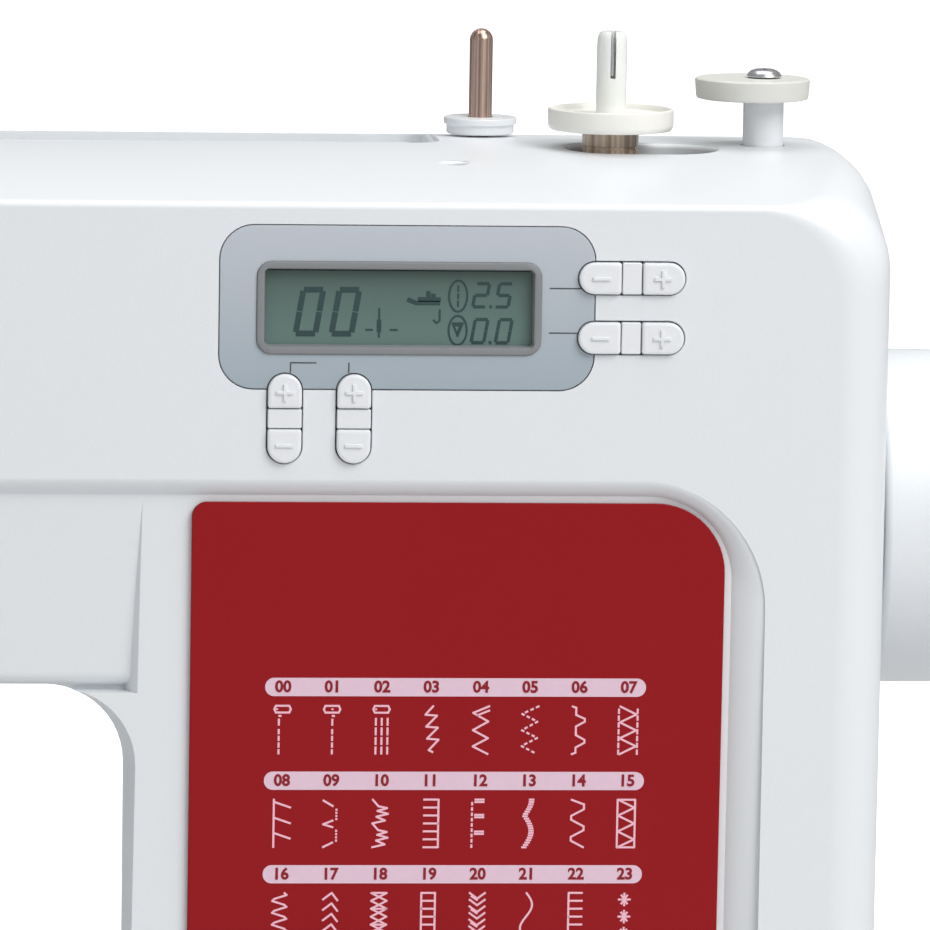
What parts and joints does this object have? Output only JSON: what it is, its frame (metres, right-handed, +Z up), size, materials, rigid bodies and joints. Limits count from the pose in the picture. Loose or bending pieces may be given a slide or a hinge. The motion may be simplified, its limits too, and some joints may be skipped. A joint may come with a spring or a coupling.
{
  "type": "sewing machine",
  "caption": "Domestic computerised sewing machine with a display, stitch chart panel, bobbin winder, spool pin, hand wheel, free arm and sliding accessory box.",
  "frame": {"origin": "centre of the machine's outer box, on the surface that its feet stand on", "axes": "+X towards the hand wheel, +Y away from the user, +Z up"},
  "size_m": [0.4, 0.17, 0.3112],
  "materials": {
    "white_casing": "satin moulded",
    "white_button": "satin moulded",
    "grey_display": "satin printed",
    "display_glass": "dull reflective liquid crystal",
    "red_panel": "satin printed film",
    "light_grey_plastic": "satin moulded",
    "dark_plastic": "fine texture",
    "translucent_plastic": "translucent moulded",
    "amber_plastic": "translucent moulded",
    "clear_plastic": "clear moulded",
    "copper_metal": "turned and plated",
    "plated_steel": "ground and plated",
    "cast_frame": "as cast",
    "rubber": "moulded",
    "black_plastic": "fine texture",
    "belt_rubber": "moulded",
    "circuit_board": "solder mask"
  },
  "bodies": {
    "machine_body": {"base_tray": "dark_plastic", "base_cover": "white_casing", "free_arm_cover": "white_casing", "front_cover": "white_casing", "rear_cover": "white_casing", "face_cover": "white_casing", "inner_frame": "cast_frame", "needle_plate": "plated_steel", "display_plate": "grey_display", "display_screen": "display_glass", "stitch_panel": "red_panel", "control_board": "circuit_board", "foot_front_left": "rubber", "foot_rear_left": "rubber", "foot_front_right": "rubber", "foot_rear_right": "rubber", "spool_pin_collar": "white_button", "spool_pin": "copper_metal", "winder_stop": "light_grey_plastic", "winder_stop_screw": "plated_steel", "motor": "dark_plastic", "power_inlet": "black_plastic", "timing_belt": "belt_rubber", "drive_belt": "belt_rubber", "bobbin_case": "dark_plastic"},
    "hand_drive": {"handwheel": "white_casing", "main_shaft": "plated_steel"},
    "lower_drive": {"lower_shaft": "plated_steel"},
    "motor_rotor": {"motor_pulley": "plated_steel"},
    "hook": {"rotary_hook": "plated_steel"},
    "bobbin_reel": {"bobbin": "clear_plastic"},
    "needle_frame": {"needle_bar_frame": "cast_frame"},
    "needle_carrier": {"needle_bar": "plated_steel", "needle_clamp": "plated_steel", "needle": "plated_steel"},
    "take_up": {"take_up_lever": "plated_steel"},
    "presser": {"presser_bar": "plated_steel", "foot_holder": "plated_steel"},
    "foot_sole": {"presser_foot": "plated_steel"},
    "lifter": {"presser_lifter": "dark_plastic"},
    "feed": {"feed_dog": "plated_steel"},
    "bobbin_lid": {"bobbin_cover": "clear_plastic"},
    "winder_arm": {"winder_carriage": "amber_plastic"},
    "winder_reel": {"winder_spindle": "translucent_plastic", "winder_flange": "light_grey_plastic"},
    "tension": {"tension_dial": "light_grey_plastic"},
    "speed": {"speed_slider": "light_grey_plastic"},
    "reverse_key": {"reverse_button": "white_button"},
    "needle_key": {"needle_position_button": "white_button"},
    "switch_rocker": {"power_switch": "black_plastic"},
    "storage_box": {"accessory_box": "white_casing"},
    "carry_handle": {"handle": "white_button"},
    "pattern_tens_plus_key": {"pattern_tens_plus_button": "white_button"},
    "pattern_tens_minus_key": {"pattern_tens_minus_button": "white_button"},
    "pattern_units_plus_key": {"pattern_units_plus_button": "white_button"},
    "pattern_units_minus_key": {"pattern_units_minus_button": "white_button"},
    "stitch_length_plus_key": {"stitch_length_plus_button": "white_button"},
    "stitch_length_minus_key": {"stitch_length_minus_button": "white_button"},
    "stitch_width_plus_key": {"stitch_width_plus_button": "white_button"},
    "stitch_width_minus_key": {"stitch_width_minus_button": "white_button"}
  },
  "joints": [
    {"name": "handwheel_turn", "type": "hinge", "parent": "machine_body", "child": "hand_drive", "pos_m": [0.19, 0.01, 0.2113], "axis": [1, 0, 0], "continuous": true},
    {"name": "lower_shaft_turn", "type": "hinge", "parent": "machine_body", "child": "lower_drive", "pos_m": [0, 0.012, 0.044], "axis": [1, 0, 0], "continuous": true},
    {"name": "motor_spin", "type": "hinge", "parent": "machine_body", "child": "motor_rotor", "pos_m": [0.15, 0, 0.118], "axis": [1, 0, 0], "continuous": true},
    {"name": "hook_turn", "type": "hinge", "parent": "machine_body", "child": "hook", "pos_m": [-0.143, -0.0105, 0.058], "axis": [0, 0, 1], "continuous": true},
    {"name": "bobbin_spin", "type": "hinge", "parent": "machine_body", "child": "bobbin_reel", "pos_m": [-0.143, -0.0105, 0.068], "axis": [0, 0, 1], "continuous": true},
    {"name": "needle_swing", "type": "hinge", "parent": "machine_body", "child": "needle_frame", "pos_m": [-0.143, 0.033, 0.258], "axis": [0, 1, 0], "range_deg": [-0.8, 0.8]},
    {"name": "needle_stroke", "type": "slide", "parent": "needle_frame", "child": "needle_carrier", "axis": [0, 0, 1], "range_m": [-0.03, 0]},
    {"name": "take_up_swing", "type": "hinge", "parent": "machine_body", "child": "take_up", "pos_m": [-0.16, 0.015, 0.235], "axis": [1, 0, 0], "range_deg": [0, 56.2]},
    {"name": "lifter_turn", "type": "hinge", "parent": "machine_body", "child": "lifter", "pos_m": [-0.12, 0.041, 0.165], "axis": [0, -1, 0], "range_deg": [0, 80.5]},
    {"name": "presser_lift", "type": "slide", "parent": "machine_body", "child": "presser", "axis": [0, 0, 1], "range_m": [0, 0.007]},
    {"name": "foot_tilt", "type": "hinge", "parent": "presser", "child": "foot_sole", "pos_m": [-0.143, 0.02, 0.086], "axis": [1, 0, 0], "range_deg": [-6.5, 3.5]},
    {"name": "feed_stroke", "type": "slide", "parent": "machine_body", "child": "feed", "axis": [0, 1, 0], "range_m": [-0.0025, 0.0025]},
    {"name": "bobbin_lid_lift", "type": "slide", "parent": "machine_body", "child": "bobbin_lid", "axis": [0, 0, 1], "range_m": [0, 0.03]},
    {"name": "winder_shift", "type": "slide", "parent": "machine_body", "child": "winder_arm", "axis": [1, 0, 0], "range_m": [0, 0.0105]},
    {"name": "winder_spin", "type": "hinge", "parent": "winder_arm", "child": "winder_reel", "pos_m": [0.1253, 0.0093, 0.29], "axis": [0, 0, 1], "continuous": true},
    {"name": "tension_turn", "type": "hinge", "parent": "machine_body", "child": "tension", "pos_m": [-0.116, -0.038, 0.255], "axis": [1, 0, 0], "range_deg": [-120, 150]},
    {"name": "speed_slide", "type": "slide", "parent": "machine_body", "child": "speed", "axis": [1, 0, 0], "range_m": [-0.015, 0.015]},
    {"name": "reverse_press", "type": "slide", "parent": "machine_body", "child": "reverse_key", "axis": [0, 1, 0], "range_m": [0, 0.002], "stiffness_N_per_m": 300},
    {"name": "needle_position_press", "type": "slide", "parent": "machine_body", "child": "needle_key", "axis": [0, 1, 0], "range_m": [0, 0.002], "stiffness_N_per_m": 300},
    {"name": "switch_rock", "type": "hinge", "parent": "machine_body", "child": "switch_rocker", "pos_m": [0.174, 0.023, 0.032], "axis": [0, -1, 0], "range_deg": [0, 16]},
    {"name": "box_slide", "type": "slide", "parent": "machine_body", "child": "storage_box", "axis": [-1, 0, 0], "range_m": [0, 0.18]},
    {"name": "handle_fold", "type": "hinge", "parent": "machine_body", "child": "carry_handle", "pos_m": [0.014, 0.05, 0.277], "axis": [-1, 0, 0], "range_deg": [0, 95]},
    {"name": "pattern_tens_plus_press", "type": "slide", "parent": "machine_body", "child": "pattern_tens_plus_key", "axis": [0, 1, 0], "range_m": [0, 0.0008], "stiffness_N_per_m": 200},
    {"name": "pattern_tens_minus_press", "type": "slide", "parent": "machine_body", "child": "pattern_tens_minus_key", "axis": [0, 1, 0], "range_m": [0, 0.0008], "stiffness_N_per_m": 200},
    {"name": "pattern_units_plus_press", "type": "slide", "parent": "machine_body", "child": "pattern_units_plus_key", "axis": [0, 1, 0], "range_m": [0, 0.0008], "stiffness_N_per_m": 200},
    {"name": "pattern_units_minus_press", "type": "slide", "parent": "machine_body", "child": "pattern_units_minus_key", "axis": [0, 1, 0], "range_m": [0, 0.0008], "stiffness_N_per_m": 200},
    {"name": "stitch_length_plus_press", "type": "slide", "parent": "machine_body", "child": "stitch_length_plus_key", "axis": [0, 1, 0], "range_m": [0, 0.0008], "stiffness_N_per_m": 200},
    {"name": "stitch_length_minus_press", "type": "slide", "parent": "machine_body", "child": "stitch_length_minus_key", "axis": [0, 1, 0], "range_m": [0, 0.0008], "stiffness_N_per_m": 200},
    {"name": "stitch_width_plus_press", "type": "slide", "parent": "machine_body", "child": "stitch_width_plus_key", "axis": [0, 1, 0], "range_m": [0, 0.0008], "stiffness_N_per_m": 200},
    {"name": "stitch_width_minus_press", "type": "slide", "parent": "machine_body", "child": "stitch_width_minus_key", "axis": [0, 1, 0], "range_m": [0, 0.0008], "stiffness_N_per_m": 200}
  ],
  "couplings": [
    {"joint": "lower_shaft_turn", "follows": "handwheel_turn", "ratio": 1},
    {"joint": "motor_spin", "follows": "handwheel_turn", "ratio": 4.6154},
    {"joint": "hook_turn", "follows": "handwheel_turn", "ratio": 2},
    {"joint": "take_up_swing", "follows": "needle_stroke", "rad_per_m": -32.58},
    {"joint": "lifter_turn", "follows": "presser_lift", "rad_per_m": 199.47}
  ]
}
